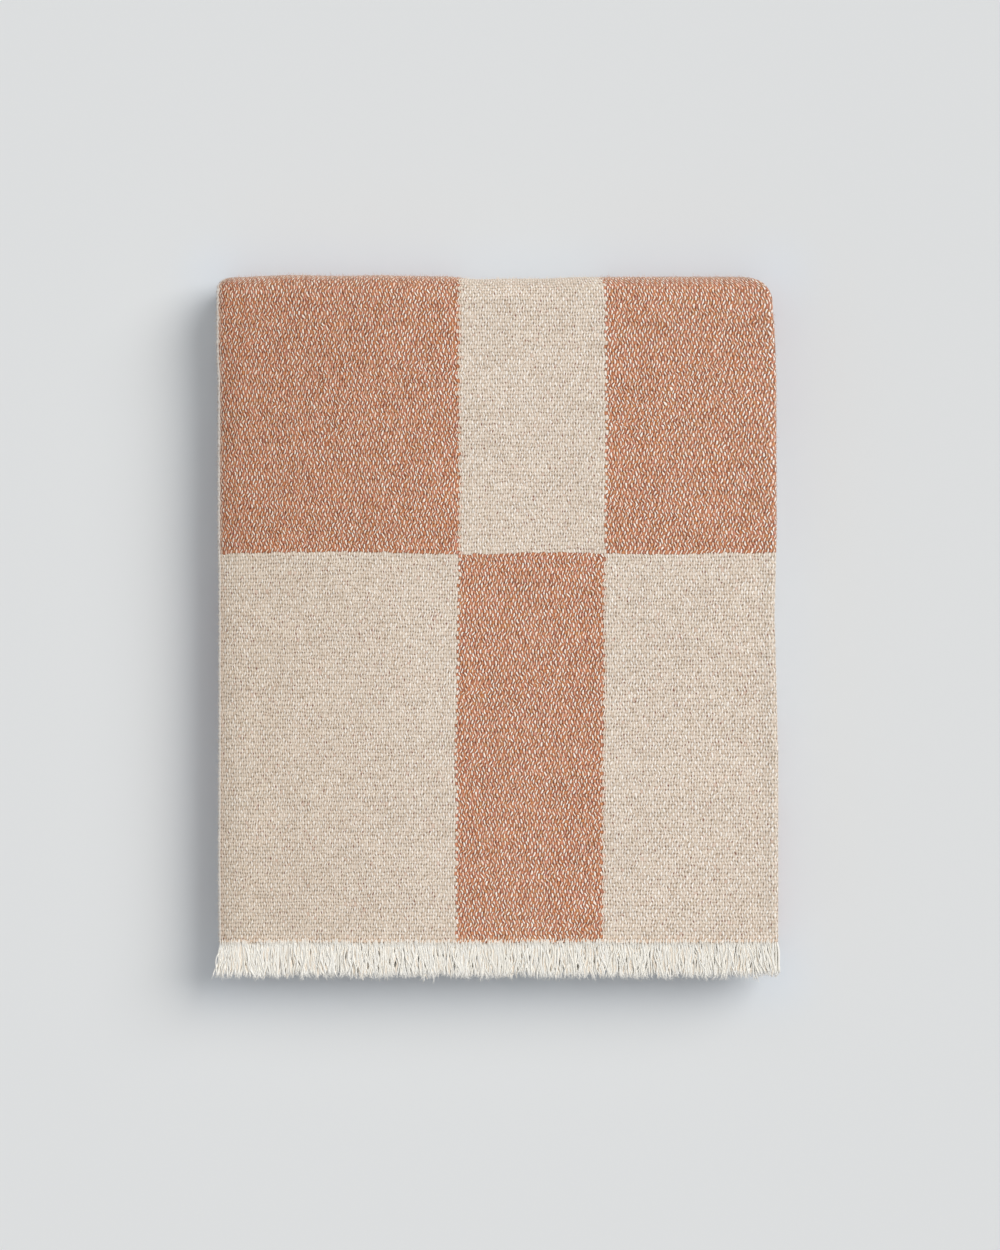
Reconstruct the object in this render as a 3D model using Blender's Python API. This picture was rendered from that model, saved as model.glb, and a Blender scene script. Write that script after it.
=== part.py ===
"""Folded throw blanket: one woven cloth with a yarn fringe at each end, folded in quarters both ways.

The cloth is folded in half and in half again across its width, which makes a strip four plies thick (a bundle), and
the strip is folded in half and in half again along its length. Four bundles, sixteen plies, lie on each other:

    top_quarter      plies 13..16, its open end carries the fringe on show
    third_quarter    plies  9..12, its open end carries the other end's fringe
    second_quarter   plies  5..8
    bottom_quarter   plies  1..4, lies on the table

The far cross fold (at +Y) joins top to bottom round the outside and third to second round the inside. The near cross
fold (at -Y) joins second to bottom. Every bundle is one sheet that winds to and fro: two nested turns at its right
edge (+X), one turn and the two selvedges at its left edge (-X).

Frame: +X right, +Y towards the far fold, +Z up, origin under the middle of the stack on the surface it lies on.
The upper half opens about an axis along X through the middle of the far fold.
"""

import math

import bmesh
import bpy

# ---------------------------------------------------------------- driving dimensions, metres
CLOTH = 0.0019          # thickness of the woven cloth
GAP = 0.0003            # air left between two plies
PITCH = CLOTH + GAP     # one ply to the next
PLIES = 4               # plies in one bundle
BUNDLES = 4

WIDTH = 0.3522          # folded width, over the right-hand turns
FAR_EDGE = 0.2212       # +Y reach of the far fold
ROOT_Y = -0.1994        # where the fringe leaves the top quarter
INNER_ROOT_Y = -0.1966  # the same on the third quarter, just under it
FRINGE = 0.0218         # length of the fringe
FRINGE_T = 0.0017       # thickness of a layer of fringe yarns
SELVEDGE_STEP = 0.0015  # the second selvedge lies this far inside the first
LEFT_TURN_STEP = 0.0008  # the left-hand turn lies this far inside the selvedge
CORNER_R = 0.0150       # far right corner, seen from above
CORNER_L = 0.0080       # far left corner, seen from above
PIECE_GAP = 0.0003      # left where two pieces of the cloth meet

HEIGHT = BUNDLES * PLIES * PITCH - GAP
HALF = HEIGHT / 2                                   # height of the far fold's axis
FAR_Y = FAR_EDGE - HALF                             # where the far fold starts to turn
NEAR_Z = (2 * PLIES * PITCH - GAP) / 2              # height of the near fold's axis
NEAR_Y = -0.19475                                   # where the near fold starts to turn

LEFT, RIGHT = -WIDTH / 2, WIDTH / 2
TURN_R = 1.5 * PITCH                                # centre-line radius of the outer right-hand turn
TURN_X = RIGHT - TURN_R - CLOTH / 2                 # x of both right-hand turns' axis

FRINGE_TOP = HEIGHT                                 # axis height of the top fringe's lift

TERRACOTTA = (0.53, 0.30, 0.20, 1.0)
CREAM = (0.72, 0.63, 0.53, 1.0)
YARN = (0.80, 0.75, 0.67, 1.0)


# ---------------------------------------------------------------- the bundle's section, in X and Z
def arc(cx, cz, r, a0, a1, steps):
    return [
        (cx + r * math.cos(a0 + (a1 - a0) * k / steps), cz + r * math.sin(a0 + (a1 - a0) * k / steps))
        for k in range(steps + 1)
    ]


def section(flipped, thick=CLOTH, first_ply=True, left=LEFT):
    """The closed outline of a winding sheet, centred on z = 0. From the top its plies are 1, 4, 3, 2 of the cloth's
    width, or from the bottom if flipped. Without first_ply it starts where ply 1 enters the outer turn. The outline
    runs along one side of the sheet and back along the other, with as many points on each."""
    h = thick / 2
    up, down = math.pi / 2, -math.pi / 2
    one, four, three, two = (k * PITCH for k in (1.5, 0.5, -0.5, -1.5))
    left_x = left + LEFT_TURN_STEP + PITCH / 2 + h      # axis of the left-hand turn

    def side(s):
        """The line that lies s to the left of the sheet's middle, walked from ply 1's selvedge to ply 4's."""
        line = []
        if first_ply:
            line.append((left, one + s))
        line += arc(TURN_X, 0, TURN_R + s, up if first_ply else up - 0.08, down, 12)
        # ply 2 runs left, and turns upwards into ply 3
        r = 0.5 * PITCH + s
        line += arc(left_x, -PITCH, r, down, -3 * math.pi / 2, 6)
        # ply 3 runs right, and turns up into ply 4 with the sheet's other side outwards
        r = 0.5 * PITCH - s
        line += arc(TURN_X, 0, r, down, up, 6)
        line.append((left + SELVEDGE_STEP, four - s))
        return line

    outline = side(h) + side(-h)[::-1]
    return [(x, -z) for x, z in outline] if flipped else outline


def rounded(x, y):
    """Draws x in near the far edge, so that the two far corners are round from above."""
    r = CORNER_R if x > 0 else CORNER_L
    into = y - (FAR_EDGE - r)
    if into <= 0:
        return x
    cut = r - math.sqrt(max(r * r - min(into, r) ** 2, 0.0))
    edge = RIGHT if x > 0 else -LEFT
    return x * (edge - cut) / edge


# ---------------------------------------------------------------- solids
def material(name, colour):
    m = bpy.data.materials.new(name)
    m.use_nodes = True
    p = m.node_tree.nodes["Principled BSDF"]
    p.inputs["Base Color"].default_value = colour
    p.inputs["Roughness"].default_value = 0.9
    p.inputs["Metallic"].default_value = 0.0
    m.diffuse_color = colour
    return m


def swept(name, outline, stations, mat, parent, origin=(0, 0, 0)):
    """A solid swept through stations, each a function from a point of the outline to a point in the frame. Its two
    ends are closed by a ladder of faces between the outline's two sides."""
    bm = bmesh.new()
    rings = []
    for place in stations:
        rings.append([bm.verts.new([c - o for c, o in zip(place(x, z), origin)]) for x, z in outline])
    n = len(outline)
    for a, b in zip(rings, rings[1:]):
        for i in range(n):
            bm.faces.new((a[i], a[(i + 1) % n], b[(i + 1) % n], b[i]))
    for ring, turn in ((rings[0], 1), (rings[-1], -1)):
        for i in range(n // 2 - 1):
            bm.faces.new((ring[i], ring[i + 1], ring[n - 2 - i], ring[n - 1 - i])[::turn])
    bmesh.ops.triangulate(bm, faces=bm.faces[:])
    bmesh.ops.recalc_face_normals(bm, faces=bm.faces[:])
    mesh = bpy.data.meshes.new(name)
    bm.to_mesh(mesh)
    bm.free()
    mesh.materials.append(mat)
    mesh.shade_smooth()
    mesh.set_sharp_from_angle(angle=math.radians(40))
    o = bpy.data.objects.new(name, mesh)
    bpy.context.scene.collection.objects.link(o)
    o.parent = parent
    # the parent only ever stands unturned, so its place and the object's own add up to the origin
    o.location = [a - b for a, b in zip(origin, parent.location)]
    return o


def straight(z0, y0, y1):
    return [lambda x, z, y=y: (x, y, z0 + z) for y in (y0, y1)]


def turned(z0, axis_y, axis_z, start, end, steps, shape=lambda x, y: x):
    """Stations round an axis along X. The angle is 0 straight down from the axis and pi straight up, by way of +Y
    if start < end."""

    def at(a):
        def place(x, z):
            r = axis_z - (z0 + z)
            y = axis_y + r * math.sin(a)
            return (shape(x, y), y, axis_z - r * math.cos(a))

        return place

    return [at(start + (end - start) * k / steps) for k in range(steps + 1)]


def main():
    for o in list(bpy.data.objects):
        bpy.data.objects.remove(o, do_unlink=True)

    def pivot(name, place):
        e = bpy.data.objects.new(name, None)
        bpy.context.scene.collection.objects.link(e)
        e.location = place
        return e

    still = pivot("lower_half", (0, 0, 0))
    opening = pivot("upper_half_axis", (0, FAR_Y, HALF))
    lifting = pivot("top_fringe_axis", (0, ROOT_Y, FRINGE_TOP))

    terracotta = material("woven_terracotta", TERRACOTTA)
    cream = material("woven_cream", CREAM)
    yarn = material("fringe_yarn", YARN)

    middle = [(k * PLIES + PLIES / 2) * PITCH - GAP / 2 for k in range(BUNDLES)]
    plain, flipped = section(False), section(True)

    # the four quarters; the sheet turns over at every cross fold
    end = FAR_Y - PIECE_GAP
    swept("bottom_quarter", flipped, straight(middle[0], NEAR_Y + PIECE_GAP, end), cream, still)
    swept("second_quarter", plain, straight(middle[1], NEAR_Y + PIECE_GAP, end), terracotta, still)
    axis = (0, FAR_Y, HALF)
    swept("third_quarter", flipped, straight(middle[2], INNER_ROOT_Y, end), cream, opening, axis)
    swept("top_quarter", plain, straight(middle[3], ROOT_Y, end), terracotta, opening, axis)

    # the near cross fold, from the bottom quarter round to the second
    swept("near_fold", flipped, turned(middle[0], NEAR_Y, NEAR_Z, 0, -math.pi, 16), cream, still)

    # the far cross fold: bottom to top round the outside, second to third round the inside
    swept("far_fold_outer", flipped, turned(middle[0], FAR_Y, HALF, 0, math.pi, 20, rounded), terracotta, still)
    swept("far_fold_inner", plain, turned(middle[1], FAR_Y, HALF, 0, math.pi, 16, rounded), cream, still)

    # the other end's fringe, folded with its cloth
    layered = section(True, FRINGE_T)
    swept("inner_fringe", layered, straight(middle[2], INNER_ROOT_Y - PIECE_GAP, INNER_ROOT_Y - FRINGE), yarn, opening, axis)

    # the near end's fringe: the three plies folded under, and the ply on top, which lifts by itself
    under = section(False, FRINGE_T, first_ply=False)
    swept("folded_fringe", under, straight(middle[3], ROOT_Y - PIECE_GAP, ROOT_Y - FRINGE), yarn, opening, axis)
    z1 = HEIGHT - CLOTH / 2
    h = FRINGE_T / 2
    top = [(LEFT, h), (LEFT, -h), (TURN_X - PIECE_GAP, -h), (TURN_X - PIECE_GAP, h)]
    swept(
        "top_fringe", top, straight(z1, ROOT_Y - PIECE_GAP, ROOT_Y - FRINGE), yarn, lifting, (0, ROOT_Y, FRINGE_TOP)
    )


main()
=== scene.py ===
"""Folded throw blanket, the looks. One woven sheet is laid out by a single mapping from cloth coordinates (ends across,
picks along) to its place in the folded stack, so that the weave, the blocks and the folds run on unbroken from piece
to piece. The fringes are real yarns. Lengths are in metres."""
import math

import bpy
import numpy as np

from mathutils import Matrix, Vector


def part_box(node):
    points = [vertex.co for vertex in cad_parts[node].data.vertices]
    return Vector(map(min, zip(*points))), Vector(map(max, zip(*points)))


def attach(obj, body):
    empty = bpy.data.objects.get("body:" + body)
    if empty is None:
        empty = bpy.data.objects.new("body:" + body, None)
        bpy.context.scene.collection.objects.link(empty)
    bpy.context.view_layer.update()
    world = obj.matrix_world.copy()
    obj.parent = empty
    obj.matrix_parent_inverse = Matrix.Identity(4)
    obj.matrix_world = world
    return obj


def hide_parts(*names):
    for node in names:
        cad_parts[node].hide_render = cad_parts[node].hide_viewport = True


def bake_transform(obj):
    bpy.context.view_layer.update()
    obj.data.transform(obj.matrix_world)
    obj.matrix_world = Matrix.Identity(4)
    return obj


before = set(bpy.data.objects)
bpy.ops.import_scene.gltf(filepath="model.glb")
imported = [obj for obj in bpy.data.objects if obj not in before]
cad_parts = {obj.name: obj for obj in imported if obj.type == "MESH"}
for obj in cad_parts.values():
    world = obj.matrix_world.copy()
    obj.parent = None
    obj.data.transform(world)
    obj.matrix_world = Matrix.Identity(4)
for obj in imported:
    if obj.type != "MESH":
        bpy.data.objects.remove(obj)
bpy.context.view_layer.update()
MM = 0.001

# ------------------------------------------------------------------ the folded stack, read from the parts' boxes in model.glb
CLOTH = 1.9 * MM
GAP = 0.3 * MM
PITCH = CLOTH + GAP
_top_lo, _top_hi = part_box("top_quarter")
_second_lo, _second_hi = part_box("second_quarter")
_third_lo, _third_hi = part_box("third_quarter")
_far_lo, _far_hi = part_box("far_fold_outer")
LEFT, RIGHT = _top_lo[0], _top_hi[0]
HEIGHT = _far_hi[2]
HALF = HEIGHT / 2
FAR_EDGE = _far_hi[1]
FAR_Y = FAR_EDGE - HALF
ROOT_Y = _top_lo[1]
INNER_ROOT_Y = _third_lo[1]
NEAR_Y = _second_lo[1] - GAP
NEAR_Z = (8 * PITCH - GAP) / 2
TIP_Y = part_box("top_fringe")[0][1]
TURN_R = 1.5 * PITCH
TURN_X = RIGHT - TURN_R - CLOTH / 2
LEFT_X = LEFT + 0.8 * MM + PITCH / 2 + CLOTH / 2
SELVEDGE_STEP = 1.5 * MM
CORNER_R, CORNER_L = 15.0 * MM, 8.0 * MM
ZC = [(4 * k + 2) * PITCH - GAP / 2 for k in range(4)]

# lengths of the sheet across, segment by segment
SEG = np.array([
    TURN_X - LEFT,
    math.pi * TURN_R,
    TURN_X - LEFT_X,
    math.pi * PITCH / 2,
    TURN_X - LEFT_X,
    math.pi * PITCH / 2,
    TURN_X - (LEFT + SELVEDGE_STEP),
])
CUT_U = np.concatenate([[0], np.cumsum(SEG)])
U_TOTAL = float(CUT_U[-1])

# lengths of the sheet along, measured on the outermost ply
R_FAR = HALF - CLOTH / 2
R_NEAR = NEAR_Z - CLOTH / 2
R_INNER = PITCH / 2
V_FAR0 = FAR_Y - ROOT_Y
V_FAR1 = V_FAR0 + math.pi * R_FAR
V_NEAR0 = V_FAR1 + FAR_Y - NEAR_Y
V_NEAR1 = V_NEAR0 + math.pi * R_NEAR
V_IN0 = V_NEAR1 + FAR_Y - NEAR_Y
V_IN1 = V_IN0 + math.pi * R_INNER
V_TOTAL = V_IN1 + FAR_Y - INNER_ROOT_Y

PICK = 2.335 * MM
END = 1.669 * MM
FRINGE = abs(ROOT_Y - TIP_Y)


# ------------------------------------------------------------------ small tools
def smooth(t):
    t = np.clip(t, 0, 1)
    return t * t * (3 - 2 * t)


def through(x, xs, ys):
    """A smooth curve through points."""
    x = np.asarray(x, float)
    xs, ys = np.asarray(xs, float), np.asarray(ys, float)
    i = np.clip(np.searchsorted(xs, x) - 1, 0, len(xs) - 2)
    t = smooth((x - xs[i]) / (xs[i + 1] - xs[i]))
    return ys[i] * (1 - t) + ys[i + 1] * t


def noise1(x, seed):
    table = np.random.default_rng(seed).random(2048)
    x = np.asarray(x, float)
    i = np.floor(x).astype(int)
    t = x - i
    t = t * t * (3 - 2 * t)
    return table[i % 2048] * (1 - t) + table[(i + 1) % 2048] * t


def noise2(x, y, seed):
    table = np.random.default_rng(seed).random((128, 128))
    x, y = np.broadcast_arrays(np.asarray(x, float), np.asarray(y, float))
    i, j = np.floor(x).astype(int), np.floor(y).astype(int)
    s, t = x - i, y - j
    s, t = s * s * (3 - 2 * s), t * t * (3 - 2 * t)
    a, b = table[i % 128, j % 128], table[(i + 1) % 128, j % 128]
    c, d = table[i % 128, (j + 1) % 128], table[(i + 1) % 128, (j + 1) % 128]
    return (a * (1 - s) + b * s) * (1 - t) + (c * (1 - s) + d * s) * t


# ends lie a little closer near the selvedge than in the middle of the cloth
_u_line = np.linspace(-0.01, U_TOTAL + 0.01, 3000)
_pitch = through(
    _u_line / U_TOTAL,
    [-0.01, 0.04, 0.14, 0.22, 0.40, 0.60, 0.85, 0.95, 1.01],
    [1.53 * MM, 1.54 * MM, 1.67 * MM, 1.75 * MM, 1.69 * MM, 1.69 * MM, 1.67 * MM, 1.56 * MM, 1.54 * MM],
)
_ends = np.concatenate([[0], np.cumsum((1 / _pitch[1:] + 1 / _pitch[:-1]) / 2 * np.diff(_u_line))])
_ends -= np.interp(0, _u_line, _ends)
ENDS = int(round(float(np.interp(U_TOTAL, _u_line, _ends))))
_ends *= ENDS / np.interp(U_TOTAL, _u_line, _ends)
PICKS = int(round(V_TOTAL / PICK))
PICK = V_TOTAL / PICKS


def u_of(n):
    return np.interp(n, _ends, _u_line)


def n_of(u):
    return np.interp(u, _u_line, _ends)


def wobble(n, m):
    """How far end n and pick m stray from their even places."""
    u, v = u_of(n), np.asarray(m, float) * PICK
    hold_u = smooth(u / 0.03) * smooth((U_TOTAL - u) / 0.03)
    hold_v = smooth(v / 0.02) * smooth((V_TOTAL - v) / 0.02)
    du = (noise2(u / 0.05 + 3, v / 0.04 + 7, 11) - 0.5) * 1.1 * MM + (noise2(u / 0.016, v / 0.02, 12) - 0.5) * 0.5 * MM
    dv = (noise2(u / 0.07 + 1, v / 0.035 + 5, 13) - 0.5) * 1.6 * MM + (noise2(u / 0.02, v / 0.012, 14) - 0.5) * 0.5 * MM
    du = du + (noise2(u / 0.0062 + 11, v / 0.0075, 15) - 0.5) * 0.55 * MM
    dv = dv + (noise2(u / 0.0085 + 4, v / 0.0056 + 9, 16) - 0.5) * 0.75 * MM
    return du * hold_u, dv * hold_v


def section(u):
    """Middle line of the winding sheet in a bundle: x, z about the bundle's middle, normal on the face side, tangent."""
    u = np.clip(np.asarray(u, float), 0, U_TOTAL)
    k = np.clip(np.searchsorted(CUT_U, u, side="right") - 1, 0, 6)
    s = u - CUT_U[k]
    x, z, nx, nz, tx, tz = (np.zeros_like(u) for _ in range(6))

    def put(seg, X, Z, NX, NZ, TX, TZ):
        w = k == seg
        for a, b in ((x, X), (z, Z), (nx, NX), (nz, NZ), (tx, TX), (tz, TZ)):
            a[w] = np.broadcast_to(b, u.shape)[w]

    h = PITCH / 2
    put(0, LEFT + s, 1.5 * PITCH, 0, 1, 1, 0)
    a = math.pi / 2 - s / TURN_R
    put(1, TURN_X + TURN_R * np.cos(a), TURN_R * np.sin(a), np.cos(a), np.sin(a), np.sin(a), -np.cos(a))
    put(2, TURN_X - s, -1.5 * PITCH, 0, -1, -1, 0)
    a = s / h
    put(3, LEFT_X - h * np.sin(a), -PITCH - h * np.cos(a), -np.sin(a), -np.cos(a), -np.cos(a), np.sin(a))
    put(4, LEFT_X + s, -0.5 * PITCH, 0, 1, 1, 0)
    put(5, TURN_X + h * np.sin(a), -h * np.cos(a), -np.sin(a), np.cos(a), np.cos(a), np.sin(a))
    put(6, TURN_X - s, 0.5 * PITCH, 0, -1, -1, 0)
    return x, z, nx, nz, tx, tz


# how far each bundle's edges lie inside the top one's, varying along the stack
def side_shift(bundle, part, y):
    seed = 100 + 10 * bundle + part
    base = {3: 0.0, 2: -1.5, 1: -0.9, 0: -1.3}[bundle] if part == 0 else {3: 0.2, 2: 1.3, 1: 0.7, 0: 1.6}[bundle]
    if part in (2, 3):
        base += 0.5
    amount = 0.0 if bundle == 3 and part in (0, 1) else 1.5
    s = base + amount * (noise1(y / 0.07 + 3.7 * part, seed) - 0.5) + 0.5 * amount * (noise1(y / 0.02, seed + 5) - 0.5)
    return s * MM * smooth((FAR_Y - 0.004 - y) / 0.05)


def place(n, m, off=0.0, ext=0.0):
    """The point of the sheet at end n and pick m, off its middle on the face side, ext beyond its selvedge."""
    n, m, off, ext = np.broadcast_arrays(*(np.asarray(q, float) for q in (n, m, off, ext)))
    du, dv = wobble(n, m)
    lip = (noise1(n / 0.8, 31) - 0.6) * 0.9 * MM + (noise1(n / 6.0, 32) - 0.5) * 0.8 * MM
    last = (1 - smooth(m / 2.5)) - (1 - smooth((PICKS - m) / 2.5))
    u, v = u_of(n) + du, m * PICK + dv + lip * last
    x, z, nx, nz, tx, tz = section(u)
    x, z = x + nx * off + tx * ext, z + nz * off + tz * ext
    low = ZC[0] - z                       # height in the outer loop's lower leg
    mid = ZC[1] + z                       # height in the inner loop's lower leg
    Y, Z = np.zeros_like(x), np.zeros_like(x)
    bundle = np.zeros(x.shape, int)
    w = v < V_FAR0
    Y[w], Z[w], bundle[w] = (FAR_Y - (V_FAR0 - v))[w], (2 * HALF - low)[w], 3
    w = (v >= V_FAR0) & (v < V_FAR1)
    a, r = math.pi - (v - V_FAR0) / R_FAR, HALF - low
    Y[w], Z[w], bundle[w] = (FAR_Y + r * np.sin(a))[w], (HALF - r * np.cos(a))[w], 3
    w = (v >= V_FAR1) & (v < V_NEAR0)
    Y[w], Z[w], bundle[w] = (FAR_Y - (v - V_FAR1))[w], low[w], 0
    w = (v >= V_NEAR0) & (v < V_NEAR1)
    a, r = (v - V_NEAR0) / R_NEAR, NEAR_Z - low
    Y[w], Z[w], bundle[w] = (NEAR_Y - r * np.sin(a))[w], (NEAR_Z - r * np.cos(a))[w], 0
    w = (v >= V_NEAR1) & (v < V_IN0)
    Y[w], Z[w], bundle[w] = (NEAR_Y + (v - V_NEAR1))[w], mid[w], 1
    w = (v >= V_IN0) & (v < V_IN1)
    a, r = (v - V_IN0) / R_INNER, HALF - mid
    Y[w], Z[w], bundle[w] = (FAR_Y + r * np.sin(a))[w], (HALF - r * np.cos(a))[w], 2
    w = v >= V_IN1
    Y[w], Z[w], bundle[w] = (FAR_Y - (v - V_IN1))[w], (2 * HALF - mid)[w], 2
    # edges of the lower bundles
    right = smooth((x - (RIGHT - 0.06)) / 0.055)
    left = smooth(((LEFT + 0.06) - x) / 0.055)
    part = np.where(u < (CUT_U[1] + CUT_U[2]) / 2, 1, np.where(u > (CUT_U[5] + CUT_U[6]) / 2, 3, 2))
    turned_near = smooth((Y - (NEAR_Y + 0.003)) / 0.03)
    dx = np.zeros_like(x)
    for b in range(4):
        wb = bundle == b
        if not wb.any():
            continue
        hold = turned_near if b < 2 else np.ones_like(x)
        s = side_shift(b, 0, Y) * right * hold
        for p in (1, 2, 3):
            s = s + side_shift(b, p, Y) * left * hold * (part == p)
        dx[wb] = s[wb]
    x = x + dx
    return warp(x, Y, Z)


_ry = np.array([-207, -81, -65, -34, -18, 6, 29, 60, 155, 171, 186, 202, 214]) * MM
_rx = np.array([1.15, 1.15, 0.6, 0.0, -0.5, -1.2, -0.6, 0.1, 0.0, -0.5, -1.2, -2.4, -3.2]) * MM
_ly = np.array([-207, -151, -65, 29, 59, 154, 170, 214]) * MM
_lx = np.array([0.6, 0.2, 0.5, 0.5, 0.0, 0.0, -0.6, -0.5]) * MM
_dx, _dk = np.array([-176, -29, 65, 176]) * MM, np.array([0, 1, 0.62, 0])
_dy, _dd = np.array([-200, -100, 0, 55, 200]) * MM, np.array([0.9, 1.0, 2.0, 3.3, 3.3]) * MM
_tx = np.array([-176, -161, -148, -130, -100, -72, -60, -35, -10, 3, 28, 53, 120, 165, 176]) * MM
_ty = np.array([-0.3, 0.2, 0.9, 1.5, 0.9, 1.4, 0.9, 0.6, -1.3, -0.9, -0.8, 0.2, 0.4, 0.3, -0.3]) * MM


def warp(x, y, z):
    """The stack isn't a perfect box: its edges wander, its far corners are round and its top is a little uneven."""
    x, y, z = x.copy(), y.copy(), z.copy()
    r = np.where(x > 0, CORNER_R, CORNER_L)
    into = np.clip(y - (FAR_EDGE - r), 0, r)
    cut = r - np.sqrt(np.maximum(r * r - into * into, 0))
    edge = np.where(x > 0, RIGHT, -LEFT)
    x = x * (edge - cut) / edge
    x += through(y, _ry, _rx) * smooth((x - 0.08) / 0.09) + through(y, _ly, _lx) * smooth((-0.08 - x) / 0.09)
    # the columns of blocks drift a little to the right towards the far fold
    x += through(x, _dx, _dk) * through(y, _dy, _dd)
    # nothing shifts in y or z along the axis of the far fold, so that both halves meet there when it opens
    y += through(x, _tx, _ty) * smooth((y - FAR_Y) / HALF)
    up = np.clip(z / HEIGHT, 0, 1) * smooth((FAR_Y - 0.003 - y) / 0.045)
    wave = (noise2(x / 0.075 + 9, y / 0.09 + 4, 21) - 0.5) * 1.3 * MM + (noise2(x / 0.03 + 2, y / 0.035 + 8, 22) - 0.5) * 0.45 * MM
    z += wave * up
    # the open left edge and the right-hand edge lie a little flatter than the middle
    z -= 1.7 * MM * up * smooth((LEFT + 0.015 - x) / 0.018) + 0.5 * MM * up * smooth((x - (RIGHT - 0.02)) / 0.02)
    return np.stack([x, y, z], axis=-1)


# ------------------------------------------------------------------ the weave's own height, as the material has it
A_W, R_W, W_W = 0.34, 0.42, 0.31
A_F, R_F, W_F = 0.14, 0.45, 0.505


def weave_height(n, m):
    i, j = np.floor(n), np.floor(m)
    a, b = n - i - 0.5, m - j - 0.5
    w = (m - 0.5 + i) / 2
    t = 2 * (w - np.round(w))
    w2 = (n - 0.5 + j) / 2
    t2 = 2 * (w2 - np.round(w2))
    hw = np.where(np.abs(a) < W_W, A_W * np.cos(math.pi * t) + R_W * np.sqrt(np.maximum(0, 1 - (a / W_W) ** 2)), -1)
    hf = -A_F * np.cos(math.pi * t2) + R_F * np.sqrt(np.maximum(0, 1 - (b / W_F) ** 2))
    return np.maximum(hw, hf)


# ------------------------------------------------------------------ meshes
def mesh_object(name, verts, polys, mat, attributes=(), sharp=None, smooth_shade=True):
    """polys is a list of integer arrays, each (count, corners)."""
    mesh = bpy.data.meshes.new(name)
    verts = np.ascontiguousarray(verts, np.float32)
    mesh.vertices.add(len(verts))
    mesh.vertices.foreach_set("co", verts.ravel())
    flat = np.concatenate([p.ravel() for p in polys]).astype(np.int32)
    sizes = np.concatenate([np.full(len(p), p.shape[1]) for p in polys]).astype(np.int32)
    starts = np.concatenate([[0], np.cumsum(sizes)[:-1]]).astype(np.int32)
    mesh.loops.add(len(flat))
    mesh.loops.foreach_set("vertex_index", flat)
    mesh.polygons.add(len(sizes))
    mesh.polygons.foreach_set("loop_start", starts)
    mesh.update(calc_edges=True)
    mesh.validate()
    for key, kind, values in attributes:
        at = mesh.attributes.new(key, kind, "POINT")
        at.data.foreach_set("vector" if kind == "FLOAT_VECTOR" else "value", np.ascontiguousarray(values, np.float32).ravel())
    if smooth_shade:
        mesh.shade_smooth()
    if sharp:
        mesh.set_sharp_from_angle(angle=math.radians(sharp))
    mesh.materials.append(mat)
    o = bpy.data.objects.new(name, mesh)
    bpy.context.scene.collection.objects.link(o)
    return o


def signed_volume(verts, polys):
    total = 0.0
    for p in polys:
        a = verts[p[:, 0]]
        for k in range(1, p.shape[1] - 1):
            total += float(np.einsum("ij,ij->i", a, np.cross(verts[p[:, k]], verts[p[:, k + 1]])).sum())
    return total / 6


def blend_weight(m, n=0.0):
    """0 on the lower half, 1 on the upper half, and the share of the turn round the far fold between them."""
    v = np.asarray(m, float) * PICK + wobble(n, m)[1]
    outer = np.clip((V_FAR1 - v) / (math.pi * R_FAR), 0, 1)
    inner = np.clip((v - V_IN0) / (math.pi * R_INNER), 0, 1)
    return np.where(v < V_NEAR0, outer, inner)


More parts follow.
